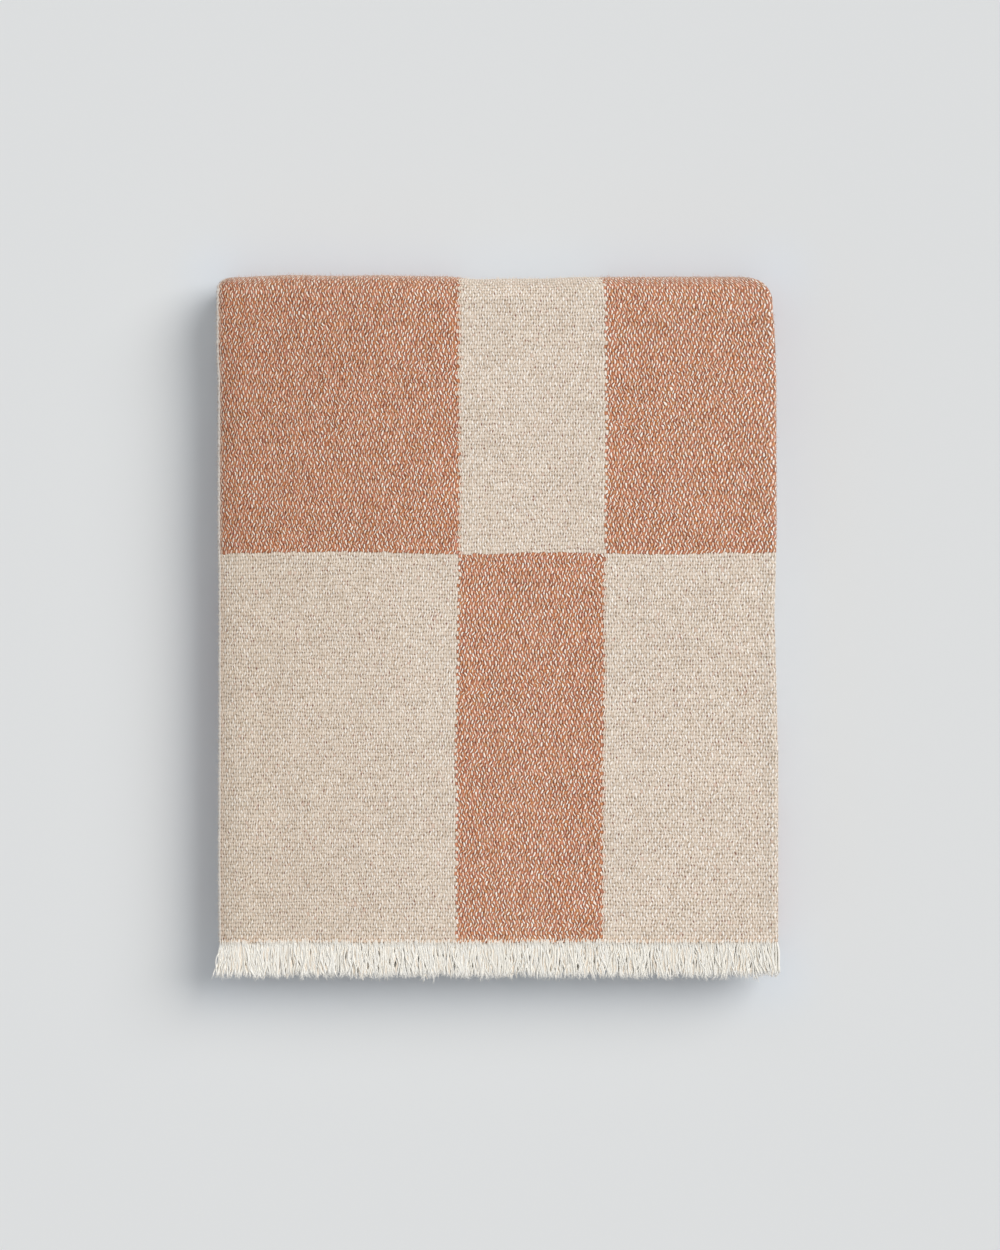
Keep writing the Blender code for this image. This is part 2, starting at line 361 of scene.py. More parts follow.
def cloth_piece(name, n_face, back, picks, mat, rim0=False, rim1=False, relief=False):
    """A closed length of the sheet between the first and the last of n_face, and of picks. back lists which of n_face
    the other side has too. rim0 and rim1 say that its first and last end is a selvedge, which is rounded."""
    h = CLOTH / 2
    n_face, back = np.asarray(n_face, float), np.asarray(back, int)
    n_back = n_face[back]
    nf, nb = len(n_face), len(n_back)
    ring_n, ring_o, ring_e, ring_s = list(n_face), [h] * nf, [0.0] * nf, [1.0] * nf
    if rim1:
        ring_n += [n_face[-1]] * 3
        ring_o += [0.62 * h, 0.0, -0.62 * h]
        ring_e += [0.42 * h, 0.62 * h, 0.42 * h]
        ring_s += [1.0, 1.0, -1.0]
    ring_n += list(n_back[::-1])
    ring_o += [-h] * nb
    ring_e += [0.0] * nb
    ring_s += [-1.0] * nb
    if rim0:
        ring_n += [n_face[0]] * 3
        ring_o += [-0.62 * h, 0.0, 0.62 * h]
        ring_e += [-0.42 * h, -0.62 * h, -0.42 * h]
        ring_s += [-1.0, 1.0, 1.0]
    N, O, E, S = (np.array(q, float) for q in (ring_n, ring_o, ring_e, ring_s))
    nn, mm = np.meshgrid(N, np.asarray(picks, float))
    off = np.broadcast_to(O, nn.shape).copy()
    ext = E[None, :] * (1 + 0.4 * np.cos(math.pi * mm))
    if relief:
        keep = smooth((n_of(CUT_U[2]) - nn) / 2.5) * smooth((PICKS_FAR1 - mm) / 3)
        hgt = (weave_height(nn, mm) - 0.30) * 0.36 * MM * keep
        off[:, :nf] += hgt[:, :nf]
    verts = place(nn, mm, off, ext).reshape(-1, 3)
    rows, R = nn.shape
    I, J = np.meshgrid(np.arange(R), np.arange(rows - 1))
    I, J = I.ravel(), J.ravel()
    I1 = (I + 1) % R
    polys = [np.stack([J * R + I, J * R + I1, (J + 1) * R + I1, (J + 1) * R + I], axis=1)]
    b_first = nf + (3 if rim1 else 0)
    for row, flip in ((0, True), (rows - 1, False)):
        base = row * R
        by_size = {}
        for k in range(nb - 1):
            face = list(range(back[k], back[k + 1] + 1))
            poly = [base + f for f in face] + [base + b_first + nb - 2 - k, base + b_first + nb - 1 - k]
            by_size.setdefault(len(poly), []).append(poly)
        if rim1:
            by_size.setdefault(5, []).append([base + q for q in range(nf - 1, nf + 4)])
        if rim0:
            by_size.setdefault(5, []).append([base + q for q in (R - 4, R - 3, R - 2, R - 1, 0)])
        for group in by_size.values():
            g = np.array(group)
            polys.append(g[:, ::-1] if flip else g)
    if signed_volume(verts, polys) < 0:
        polys = [q[:, ::-1] for q in polys]
    cloth = np.stack([nn, mm, np.broadcast_to(S, nn.shape)], axis=-1).reshape(-1, 3)
    o = mesh_object(name, verts, polys, mat, [("cloth", "FLOAT_VECTOR", cloth)], sharp=48)
    return o, blend_weight(mm, nn).ravel()


def spread_ends(n0, n1, step):
    """End numbers from n0 to n1, step metres apart on the flat plies and closer round the turns."""
    u0, u1 = float(u_of(n0)), float(u_of(n1))
    marks = [u0]
    for k in range(7):
        a, b = max(CUT_U[k], u0), min(CUT_U[k + 1], u1)
        if b - a < 1e-6:
            continue
        count = max(1, int(round((b - a) / step)))
        if k % 2:
            count = max(2, int(round((14 if k == 1 else 9) * (b - a) / SEG[k])))
        marks += list(np.linspace(a, b, count + 1)[1:])
    out = n_of(np.array(marks))
    out[0], out[-1] = n0, n1
    return out


def spread_picks(m0, m1, step):
    cuts = [(0, V_FAR0, 0), (V_FAR0, V_FAR1, 26), (V_FAR1, V_NEAR0, 0), (V_NEAR0, V_NEAR1, 20), (V_NEAR1, V_IN0, 0),
            (V_IN0, V_IN1, 16), (V_IN1, V_TOTAL, 0)]
    marks = [m0 * PICK]
    for a0, b0, turns in cuts:
        a, b = max(a0, m0 * PICK), min(b0, m1 * PICK)
        if b - a < 1e-6:
            continue
        count = max(1, int(round((b - a) / step))) if not turns else max(2, int(round(turns * (b - a) / (b0 - a0))))
        marks += list(np.linspace(a, b, count + 1)[1:])
    out = np.array(marks) / PICK
    out[0], out[-1] = m0, m1
    return out


# ------------------------------------------------------------------ yarns
def tubes(name, paths, radius, sides, mat, tints, lobes=0.0, twist=0.0, tip=None):
    """Closed tubes along paths (count, points, 3). radius is (count, points). A lobed section turns along the yarn."""
    C, P, _ = paths.shape
    d = np.gradient(paths, axis=1)
    d /= np.linalg.norm(d, axis=2, keepdims=True)
    ref = np.array([0.0, 0.0, 1.0])
    a = np.cross(d, ref)
    bad = np.linalg.norm(a, axis=2) < 0.2
    a[bad] = np.cross(d[bad], np.array([1.0, 0.0, 0.0]))
    a /= np.linalg.norm(a, axis=2, keepdims=True)
    b = np.cross(a, d)
    th = np.linspace(0, 2 * math.pi, sides, endpoint=False)
    seg = np.linalg.norm(np.diff(paths, axis=1), axis=2)
    s = np.concatenate([np.zeros((C, 1)), np.cumsum(seg, axis=1)], axis=1)
    phase = s * twist + np.linspace(0, 77, C)[:, None]
    r = radius[:, :, None] * (1 + lobes * np.cos(2 * (th[None, None, :] - phase[:, :, None])))
    v = (
        paths[:, :, None, :]
        + r[..., None] * (np.cos(th)[None, None, :, None] * a[:, :, None, :] + np.sin(th)[None, None, :, None] * b[:, :, None, :])
    )
    ring = v.reshape(C, P * sides, 3)
    ends = np.stack([paths[:, 0] - d[:, 0] * radius[:, :1] * 0.5, paths[:, -1] + d[:, -1] * radius[:, -1:] * 0.6], axis=1)
    verts = np.concatenate([ring, ends], axis=1)
    stride = P * sides + 2
    i, j = np.meshgrid(np.arange(sides), np.arange(P - 1))
    i, j = i.ravel(), j.ravel()
    q = np.stack([j * sides + i, j * sides + (i + 1) % sides, (j + 1) * sides + (i + 1) % sides, (j + 1) * sides + i], axis=1)
    k = np.arange(sides)
    t0 = np.stack([np.full(sides, P * sides), (k + 1) % sides, k], axis=1)
    last = (P - 1) * sides
    t1 = np.stack([np.full(sides, P * sides + 1), last + k, last + (k + 1) % sides], axis=1)
    shift = (np.arange(C) * stride)[:, None, None]
    polys = [(q[None] + shift).reshape(-1, 4), (t0[None] + shift).reshape(-1, 3), (t1[None] + shift).reshape(-1, 3)]
    flat = verts.reshape(-1, 3)
    if signed_volume(flat, polys) < 0:
        polys = [p[:, ::-1] for p in polys]
    along = np.broadcast_to(s[:, :, None], (C, P, sides)).reshape(C, -1)
    along = np.concatenate([along, s[:, :1], s[:, -1:]], axis=1)
    share = along / s[:, -1:]
    angle = np.broadcast_to(th[None, None, :] - phase[:, :, None], (C, P, sides)).reshape(C, -1)
    angle = np.concatenate([angle, angle[:, :2]], axis=1)
    yarn = np.stack([np.broadcast_to(tints[:, None], share.shape), share, along * 1000], axis=-1).reshape(-1, 3)
    return flat, polys, yarn


def joined(name, parts, mat, smooth_shade=True):
    verts, polys, yarns, base = [], {}, [], 0
    for v, ps, y in parts:
        verts.append(v)
        yarns.append(y)
        for p in ps:
            polys.setdefault(p.shape[1], []).append(p + base)
        base += len(v)
    polys = [np.concatenate(g) for g in polys.values()]
    return mesh_object(name, np.concatenate(verts), polys, mat, [("yarn", "FLOAT_VECTOR", np.concatenate(yarns))])


N_MIDTURN = float(n_of((CUT_U[1] + CUT_U[2]) / 2))


def fringe_row(n_list, m_root, seed, level, radius, points, droop, length, stray, on_show):
    """Yarns that carry the ends in n_list on beyond the last pick at m_root, level above the cloth's middle."""
    rng = np.random.default_rng(seed)
    n = np.asarray(n_list, float)
    C = len(n)
    root = place(n, np.full(C, m_root, float), 0.0)
    over = (rng.random(C) < 0.6) if on_show else np.zeros(C, bool)
    s0 = np.where(over, -rng.uniform(0.2, 2.4, C), -0.8) * MM
    L = length + rng.normal(0, 0.9 * MM, C) * stray + (noise1(n / 9, seed + 1) - 0.5) * 2.2 * MM
    t = np.linspace(0, 1, points)[None, :]
    s = s0[:, None] + (L - s0)[:, None] * t
    out = np.clip(s / length, 0, None)
    # tufts lean one way or the other, and single yarns stray from them
    lean = (noise1(n / 6.0, seed + 2) - 0.42) * 9.5 * MM + (noise1(n / 2.1, seed + 3) - 0.5) * 3.4 * MM
    lean += rng.normal(0, 0.8 * MM, C)
    cross = rng.random(C) < 0.16
    lean += np.where(cross, rng.choice([-1, 1], C) * rng.uniform(2.0, 4.5, C) * MM, 0)
    # the outermost yarns splay outwards
    edge_l, edge_r = smooth(1 - n / 6), smooth(1 - np.abs(n - N_MIDTURN) / 8)
    lean = lean * (1 - 0.7 * np.maximum(edge_l, edge_r)) - 3.4 * MM * edge_l + 3.0 * MM * edge_r
    lean = np.clip(lean, -6.5 * MM, 6.5 * MM)
    bend = rng.uniform(0.85, 1.7, C)[:, None]
    dx = lean[:, None] * out ** bend * stray
    clump = (noise2(n[:, None] / 2.8, s / (9 * MM) + 3, seed + 4) - 0.5) * 1.8 * MM
    wave = rng.uniform(0.15, 0.75, C)[:, None] * MM * np.sin(s / (rng.uniform(1.6, 3.2, C)[:, None] * MM) + rng.uniform(0, 6.3, C)[:, None])
    dx += (clump + wave) * smooth(s / (4.5 * MM))
    dz = -droop * np.clip(out, 0, 1.3) ** 1.7 + level
    dz = dz + ((noise2(n[:, None] / 1.3, s / (7 * MM), seed + 6) - 0.5) * 0.55 * MM) * smooth(s / (4 * MM)) * stray
    dz += np.where(cross & on_show, 0.40, 0)[:, None] * MM * smooth(s / (7 * MM))
    dz += np.where(over[:, None], (CLOTH / 2 + 0.02 * MM - level) * (1 - smooth((s + 0.4 * MM) / (3.4 * MM))), 0)
    paths = np.stack([root[:, :1] + dx, root[:, 1:2] - s, root[:, 2:3] + dz], axis=-1)
    r = radius * rng.uniform(0.84, 1.14, C)[:, None] * (1 + 0.08 * np.sin(s / (1.7 * MM) + rng.uniform(0, 6, C)[:, None]))
    r = r * (1 - 0.35 * smooth((t - 0.90) / 0.10))
    r = r * (0.62 + 0.38 * smooth((s - s0[:, None]) / (2.0 * MM)))
    return paths, r, rng.random(C)


# ------------------------------------------------------------------ materials
class Num:
    """A number in a shader, written with ordinary arithmetic."""

    tree = None

    def __init__(self, s):
        self.s = s

    @staticmethod
    def op(kind, *args, clamp=False):
        node = Num.tree.nodes.new("ShaderNodeMath")
        node.operation = kind
        node.use_clamp = clamp
        for k, a in enumerate(args):
            if isinstance(a, Num):
                Num.tree.links.new(a.s, node.inputs[k])
            else:
                node.inputs[k].default_value = float(a)
        return Num(node.outputs[0])

    def __add__(self, o):
        return Num.op("ADD", self, o)

    __radd__ = __add__

    def __sub__(self, o):
        return Num.op("SUBTRACT", self, o)

    def __rsub__(self, o):
        return Num.op("SUBTRACT", o, self)

    def __mul__(self, o):
        return Num.op("MULTIPLY", self, o)

    __rmul__ = __mul__

    def __truediv__(self, o):
        return Num.op("DIVIDE", self, o)

    def __rtruediv__(self, o):
        return Num.op("DIVIDE", o, self)

    def over(self, o):
        return Num.op("GREATER_THAN", self, o)


def n_floor(a):
    return Num.op("FLOOR", a)


def n_abs(a):
    return Num.op("ABSOLUTE", a)


def n_max(a, b):
    return Num.op("MAXIMUM", a, b)


def n_min(a, b):
    return Num.op("MINIMUM", a, b)


def n_cos(a):
    return Num.op("COSINE", a)


def n_sqrt(a):
    return Num.op("SQRT", n_max(a, 0.0))


def n_odd(a):
    """1 where a whole number is odd."""
    return n_abs(a - 2 * n_floor(a / 2 + 0.001)).over(0.5)


def n_ramp(a, lo, hi):
    node = Num.tree.nodes.new("ShaderNodeMapRange")
    node.interpolation_type = "SMOOTHSTEP"
    Num.tree.links.new(a.s, node.inputs[0])
    node.inputs[1].default_value, node.inputs[2].default_value = lo, hi
    return Num(node.outputs[0])


def n_mix(f, a, b):
    return a + (b - a) * f if isinstance(a, Num) or isinstance(b, Num) else Num.op("MULTIPLY_ADD", f, b - a, a)


def vec(x, y, z=0.0):
    node = Num.tree.nodes.new("ShaderNodeCombineXYZ")
    for k, a in enumerate((x, y, z)):
        if isinstance(a, Num):
            Num.tree.links.new(a.s, node.inputs[k])
        else:
            node.inputs[k].default_value = float(a)
    return node.outputs[0]


def n_white(x, y, z=0.0):
    node = Num.tree.nodes.new("ShaderNodeTexWhiteNoise")
    node.noise_dimensions = "3D"
    Num.tree.links.new(vec(x + 0.5, y + 0.5, z), node.inputs["Vector"])
    return Num(node.outputs["Value"])


def n_noise(x, y, z=0.0, scale=1.0, detail=2.0, rough=0.5):
    node = Num.tree.nodes.new("ShaderNodeTexNoise")
    node.noise_dimensions = "3D"
    Num.tree.links.new(vec(x, y, z), node.inputs["Vector"])
    node.inputs["Scale"].default_value = scale
    node.inputs["Detail"].default_value = detail
    node.inputs["Roughness"].default_value = rough
    return Num(node.outputs[0])


def c_mix(f, a, b, kind="MIX"):
    node = Num.tree.nodes.new("ShaderNodeMix")
    node.data_type = "RGBA"
    node.blend_type = kind
    for sock, val in ((node.inputs[0], f), (node.inputs[6], a), (node.inputs[7], b)):
        if isinstance(val, Num):
            Num.tree.links.new(val.s, sock)
        elif isinstance(val, (int, float)):
            sock.default_value = float(val)
        elif isinstance(val, tuple):
            sock.default_value = (*val, 1.0)
        else:
            Num.tree.links.new(val, sock)
    return node.outputs[2]


def c_scale(col, f):
    """A colour times a number."""
    node = Num.tree.nodes.new("ShaderNodeVectorMath")
    node.operation = "SCALE"
    Num.tree.links.new(col, node.inputs[0])
    if isinstance(f, Num):
        Num.tree.links.new(f.s, node.inputs["Scale"])
    else:
        node.inputs["Scale"].default_value = f
    return node.outputs[0]


def new_material(name, rough=0.92, sheen=0.0, sheen_tint=(1, 1, 1)):
    m = bpy.data.materials.new(name)
    m.use_nodes = True
    Num.tree = m.node_tree
    p = m.node_tree.nodes["Principled BSDF"]
    p.inputs["Roughness"].default_value = rough
    p.inputs["Specular IOR Level"].default_value = 0.18
    p.inputs["Sheen Weight"].default_value = sheen
    p.inputs["Sheen Roughness"].default_value = 0.6
    p.inputs["Sheen Tint"].default_value = (*sheen_tint, 1)
    return m, p


def attribute(name):
    node = Num.tree.nodes.new("ShaderNodeAttribute")
    node.attribute_name = name
    sep = Num.tree.nodes.new("ShaderNodeSeparateXYZ")
    Num.tree.links.new(node.outputs["Vector"], sep.inputs[0])
    return [Num(o) for o in sep.outputs]


def bump(p, height, distance, strength):
    node = Num.tree.nodes.new("ShaderNodeBump")
    node.inputs["Distance"].default_value = distance
    node.inputs["Strength"].default_value = strength
    Num.tree.links.new(height.s, node.inputs["Height"])
    Num.tree.links.new(node.outputs[0], p.inputs["Normal"])


COLUMNS = [0.1490, 0.2420, 0.4024, 0.4956, 0.6543, 0.7475, 0.9062, 0.9994, 1.1581, 1.2513]
ROWS = [0.2452, 0.4819, 0.7186, 0.9553, 1.1920, 1.4287]


def woven_material():
    m, p = new_material("woven_face", 0.95, 0.20, (1.0, 0.93, 0.86))
    n0, k0, side = attribute("cloth")
    x_mm, y_mm = n0 * 1.67, k0 * 2.335
    # the yarns don't lie quite even: the lattice of crossings wanders by a part of a crossing
    across = n0 + (n_noise(x_mm, y_mm, 11.0, 0.30, 1.0) - 0.5) * 0.75
    k = k0 + (n_noise(x_mm, y_mm, 23.0, 0.34, 1.0) - 0.5) * 1.05
    # and the picks pull the ends to one side and back, over four picks, but less where the beige weft is on the face
    face = side.over(0.0)

    def block(i, j):
        """1 where the terracotta weft comes to the face in a crossing."""
        sx = i + 0.5 - n_odd(j)
        passed = 1 - face
        for c in COLUMNS:
            passed = passed + sx.over(round(float(n_of(c))))
        for r in ROWS:
            passed = passed + j.over(round(r / PICK) - 0.5)
        return n_odd(passed)

    pull = n_mix(block(n_floor(across), n_floor(k)), 0.17, 0.38)
    n = across + n_cos((k + n_noise(x_mm, y_mm, 71.0, 0.022, 1.0) * 9.0) * (math.pi / 2)) * pull
    i, j = n_floor(n), n_floor(k)
    b = k - j - 0.5
    w = (k - 0.5 + i) / 2
    float_no = n_floor(w + 0.5)
    one, two = n_white(i, float_no, 3.0), n_white(i, float_no, 5.0)
    three, four = n_white(i, float_no, 8.0), n_white(i, float_no, 9.0)
    # an end lies over a pick as a short float, each at its own slant, height, length and width
    t = 2 * (w - float_no) + (three - 0.5) * 0.36
    a = n - i - 0.5 + (n_noise(i * 7.31, k, 0.0, 0.55, 1.0) - 0.5) * 0.32 + ((one - 0.5) * 0.60 + (n_noise(x_mm, y_mm, 71.0, 0.16, 1.0) - 0.5) * 1.2) * t
    w2 = (n - 0.5 + j) / 2
    t2 = 2 * (w2 - n_floor(w2 + 0.5))
    thin = 1 / 0.250 + (two - 0.5) * 1.5
    round_w = n_sqrt(1 - (a * thin) * (a * thin))
    round_f = n_sqrt(1 - (b / W_F) * (b / W_F))
    hw = n_cos(n_min(n_abs(t), 1.0) * math.pi) * A_W + (four - 0.5) * 0.24 + (round_w * R_W) - n_abs(a * thin).over(1.0) * 2.0
    hf = n_cos(t2 * math.pi) * (-A_F) + round_f * R_F
    warp_up = hw.over(hf)
    top = n_max(hw, hf)
    crease = 1 - n_ramp(n_abs(hw - hf), 0.0, 0.16)

    terracotta = block(i, j)

    # colours vary from yarn to yarn and along each yarn
    heather = n_noise(x_mm, j * 5.7, 0.0, 0.27, 3.0, 0.6)
    heather2 = n_noise(x_mm, j * 3.1 + 40, 0.0, 0.50, 2.0, 0.6)
    cell, cell2, cell3 = n_white(i, j, 2.0), n_white(i, j, 7.0), n_white(i, j, 12.0)
    cloud = n_noise(x_mm, y_mm, 5.0, 0.045, 2.0, 0.5)
    fibre = n_noise(x_mm, y_mm * 1.6, 2.0, 3.0, 3.0, 0.7)
    grain = n_noise(x_mm * 0.42, y_mm * 1.4, 31.0, 1.10, 2.0, 0.6)

    streak = n_noise(x_mm, j * 9.3 + y_mm * 0.25, 44.0, 0.75, 1.0, 0.5)
    band = n_noise(x_mm * 0.11, y_mm * 0.9, 61.0, 0.50, 3.0, 0.6)
    brick = c_mix(n_ramp(heather, 0.38, 0.62), (0.612, 0.236, 0.101), (0.682, 0.297, 0.178))
    brick = c_mix(n_ramp(heather2, 0.50, 0.68) * 0.62, brick, (0.340, 0.125, 0.062))
    brick = c_mix(n_ramp(streak, 0.42, 0.30) * 0.60, brick, (0.670, 0.300, 0.100))
    brick = c_mix(n_ramp(streak, 0.58, 0.70) * 0.60, brick, (0.660, 0.300, 0.255))
    brick = c_mix(n_ramp(cell3, 0.22, 0.10) * 0.35, brick, (0.520, 0.310, 0.150))
    brick = c_mix(n_ramp(cell3, 0.80, 0.95) * 0.40, brick, (0.330, 0.100, 0.056))
    beige = c_mix(n_ramp(heather, 0.32, 0.68), (0.688, 0.570, 0.448), (0.843, 0.741, 0.620))
    beige = c_mix(n_ramp(streak, 0.58, 0.68) * 0.20, beige, (0.820, 0.620, 0.510))
    beige = c_mix(n_ramp(streak, 0.42, 0.32) * 0.24, beige, (0.680, 0.650, 0.470))
    beige = c_mix(n_ramp(cell3, 0.965, 0.975) * 0.30, beige, (0.64, 0.38, 0.30))
    weft = c_mix(terracotta, beige, brick)
    ends = c_mix(n_ramp(three, 0.15, 0.85), (0.925, 0.848, 0.742), (0.990, 0.950, 0.872))
    in_brick = c_mix(n_ramp(three, 0.30, 0.95), (1.000, 0.915, 0.790), (0.950, 0.725, 0.570))
    in_brick = c_mix(n_ramp(two, 0.84, 0.92) * 0.6, in_brick, (0.900, 0.790, 0.590))
    in_brick = c_mix(n_ramp(cell3, 0.40, 0.15) * 0.35, in_brick, (0.760, 0.520, 0.390))
    warp_c = c_mix(terracotta, ends, in_brick)
    # the wefts fold over one another at the last picks, where they show peach between the ends
    last = 1 - n_ramp(n_min(k, PICKS - k), 0.4, 1.9)
    weft = c_mix(last * n_mix(terracotta, 0.25, 0.50), weft, (0.82, 0.50, 0.30))
    base = c_mix(warp_up, weft, warp_c)
    # the selvedge: a pale pair of ends and a flat, beige band inside it
    rim = n_min(across, ENDS - across)
    base = c_mix((1 - n_ramp(rim, 1.2, 2.2)) * 0.55, base, (0.74, 0.59, 0.47))
    base = c_mix(1 - n_ramp(rim, 0.40, 0.80), base, (0.93, 0.90, 0.84))
    # painted shade: a dark colour stands for the shade that falls in the gaps and low parts between the yarns
    hollow = c_mix(terracotta, (0.290, 0.215, 0.145), (0.150, 0.050, 0.027))
    deep = 1 - n_ramp(top, 0.06, 0.40)
    # painted shade: where four yarns meet there is a small hole, painted dark, some of them deeper; the low parts and
    # the creases between the yarns are painted dark too
    hole = n_white(n_floor(n + 0.5), n_floor(k + 0.5), 6.0)
    gap = n_ramp(n_abs(b), 0.02, 0.46)
    corner = n_ramp(n_abs(n - i - 0.5), 0.15, 0.43) * n_mix(terracotta, 0.15 + 0.85 * gap, 0.50 + 0.50 * gap)
    hollow = c_mix(n_ramp(hole, 0.93, 0.96) * 0.8, hollow, (0.22, 0.065, 0.045))
    size = n_ramp(hole, 0.10, 0.98)
    dark = corner * n_mix(terracotta, 0.08 + 0.78 * size, 0.40 + 0.72 * size) + deep * n_mix(terracotta, 0.46, 0.20)
    dark = n_min(dark + crease * n_mix(terracotta, 0.24, 0.42) * (0.42 + 0.58 * cell2), 0.96)
    dark = dark * (0.25 + 0.75 * n_ramp(rim, 0.5, 1.0))
    base = c_mix(dark, base, hollow)
    # painted shade and light: the cloth is a shade deeper towards its first selvedge, on the left, and brighter to the
    # right, for the way the light from the right falls across the top
    base = c_mix(1.0, base, c_mix(n_ramp(across, -10.0, 125.0), c_mix(terracotta, (0.937, 0.905, 0.887), (0.905, 0.865, 0.855)), c_mix(terracotta, (1.027, 1.005, 1.010), (1.050, 1.050, 1.080))), "MULTIPLY")
    # darker still over the first few ends next to the first selvedge
    base = c_scale(base, (1 - n_mix(terracotta, 0.05, 0.085) * (1 - n_ramp(across, 2.2, 4.8))) * (0.965 + 0.035 * n_ramp(across, 4.0, 16.0)))
    # partly a raised nap and partly painted sheen: the crown of the far fold is painted paler, as fuzz looks where the
    # surface turns away
    crown = 1 - n_ramp(n_abs(k - 0.5 * float(V_FAR0 + V_FAR1) / PICK), 1.6, 5.6)
    base = c_mix(crown * 0.20, base, (0.92, 0.82, 0.70))
    # painted shade and sheen: the turn at the right is painted darker in the cream blocks, against the extra light it
    # catches from the right, and paler and cooler in the terracotta blocks
    base = c_mix(n_ramp(across, float(n_of(CUT_U[1])) - 7.0, float(n_of(CUT_U[1])) + 2.0) * 0.9, base, c_mix(1.0, base, c_mix(terracotta, (0.915, 0.925, 0.935), (0.975, 1.035, 1.090)), "MULTIPLY"))
    # tone that varies at random (cloud, fibre, grain, band), and painted shade and highlight: lighter on the crowns of
    # the yarns, darker in the low parts
    shade = (0.95 + 0.10 * cloud) * (0.80 + 0.40 * fibre) * (1.0 + n_mix(terracotta, 0.13, 0.22) * (grain - 0.5)) * (0.850 + 0.30 * band) * n_mix(n_ramp(top, 0.1, 0.75), 0.90, 1.07)
    colour = c_scale(base, shade)
    Num.tree.links.new(colour, p.inputs["Base Color"])
    bump(p, n_max(hw, hf * 0.45 + 0.22) + fibre * 0.22, 0.42 * MM, 0.85)
    return m


def yarn_material():
    m, p = new_material("fringe_yarn", 0.92, 0.60, (1.0, 0.98, 0.94))
    tint, share, along = attribute("yarn")
    blotch = n_noise(tint * 97.0, along * 0.5, 0.0, 0.8, 2.0, 0.6)
    fine = n_noise(tint * 211.0, along * 2.2, 4.0, 1.6, 2.0, 0.6)
    col = c_mix(n_ramp(tint, 0.15, 0.85), (0.965, 0.930, 0.850), (0.995, 0.975, 0.920))
    col = c_mix(n_ramp(blotch, 0.55, 0.75) * 0.26, col, (0.90, 0.82, 0.70))
    # painted shade: yarns with a tint above 1, the lowest layer under the top fringe, are painted a darker, warmer copy
    # of the same yarn for the shade they lie in
    col = c_mix(n_ramp(tint, 1.0, 1.02) * 0.85, col, (0.925, 0.815, 0.680))
    col = c_mix(n_ramp(share, 0.86, 0.98) * 0.75, col, (0.93, 0.92, 0.89))
    # painted shade: the first two millimetres or so of each yarn, at the root, are painted a warmer, darker brown
    col = c_mix((1 - n_ramp(along, 1.2, 2.8)) * 0.22, col, (0.80, 0.62, 0.46))
    col = c_scale(col, 0.955 + 0.09 * fine)
    Num.tree.links.new(col, p.inputs["Base Color"])
    bump(p, fine, 0.15 * MM, 0.6)
    return m


# ------------------------------------------------------------------ the pieces
WOVEN, YARN = woven_material(), yarn_material()

M_FAR0 = math.floor(2 * (V_FAR0 / PICK)) / 2 - 1.0       # just before the cloth starts round the far fold
M_FAR1 = math.ceil(2 * (V_FAR1 / PICK)) / 2 + 1.0
M_NEAR0 = math.floor(V_NEAR0 / PICK) - 1.0
M_NEAR1 = math.ceil(V_NEAR1 / PICK) + 1.0
M_IN0 = math.floor(V_IN0 / PICK) - 1.0
M_IN1 = math.ceil(V_IN1 / PICK) + 1.0
PICKS_FAR1 = M_FAR1
N_TURN = round(2 * float(n_of(CUT_U[2]))) / 2

UP, LOW = "upper_half", "lower_half"


def declare_cloth(u0, u1, m0, m1):
    """Round a cross fold the plies lie at different radii, so a length of cloth there counts with its plies' mean. The
    length is worked out and then not used.
    """
    u = np.linspace(float(u_of(u0)), float(u_of(u1)), 400)
    z = section(u)[1]
    low, mid = (ZC[0] - z).mean(), (ZC[1] + z).mean()
    length = (m1 - m0) * PICK
    for a, b, r, own in ((V_FAR0, V_FAR1, R_FAR, HALF - low), (V_NEAR0, V_NEAR1, R_NEAR, NEAR_Z - low), (V_IN0, V_IN1, R_INNER, HALF - mid)):
        share = max(0.0, min(m1 * PICK, b) - max(m0 * PICK, a)) / (b - a)
        length += share * math.pi * (own - r)


half_steps = np.arange(0, N_TURN + 0.01, 0.5)
u_half = u_of(half_steps)
flat_n = int(np.searchsorted(u_half, CUT_U[1]))
back_idx = sorted(set(range(0, flat_n, 8)) | set(range(flat_n, len(half_steps))) | {0, len(half_steps) - 1})
rest_n = spread_ends(N_TURN, ENDS, 4.2 * MM)
all_n = spread_ends(0, ENDS, 4.2 * MM)
whole = lambda a: list(range(len(a)))

top_ply, _ = cloth_piece("top_ply", half_steps, back_idx, np.arange(0, M_FAR0 + 0.01, 0.5), WOVEN, rim0=True, relief=True)
top_rest, _ = cloth_piece("top_quarter_plies", rest_n, whole(rest_n), spread_picks(0, M_FAR0, 4.6 * MM), WOVEN, rim1=True)
third, _ = cloth_piece("third_quarter_plies", all_n, whole(all_n), spread_picks(M_IN1, PICKS, 4.6 * MM), WOVEN, rim0=True, rim1=True)
second, _ = cloth_piece("second_quarter_plies", all_n, whole(all_n), spread_picks(M_NEAR1, M_IN0, 4.6 * MM), WOVEN, rim0=True, rim1=True)
bottom, _ = cloth_piece("bottom_quarter_plies", all_n, whole(all_n), spread_picks(M_FAR1, M_NEAR0, 4.6 * MM), WOVEN, rim0=True, rim1=True)
near, _ = cloth_piece("near_fold_plies", all_n, whole(all_n), spread_picks(M_NEAR0, M_NEAR1, 4.6 * MM), WOVEN, rim0=True, rim1=True)
far_ply, w_ply = cloth_piece("far_fold_ply", half_steps, back_idx, np.arange(M_FAR0, M_FAR1 + 0.01, 0.5), WOVEN, rim0=True, relief=True)
far_rest, w_rest = cloth_piece("far_fold_plies", rest_n, whole(rest_n), spread_picks(M_FAR0, M_FAR1, 4.6 * MM), WOVEN, rim1=True)
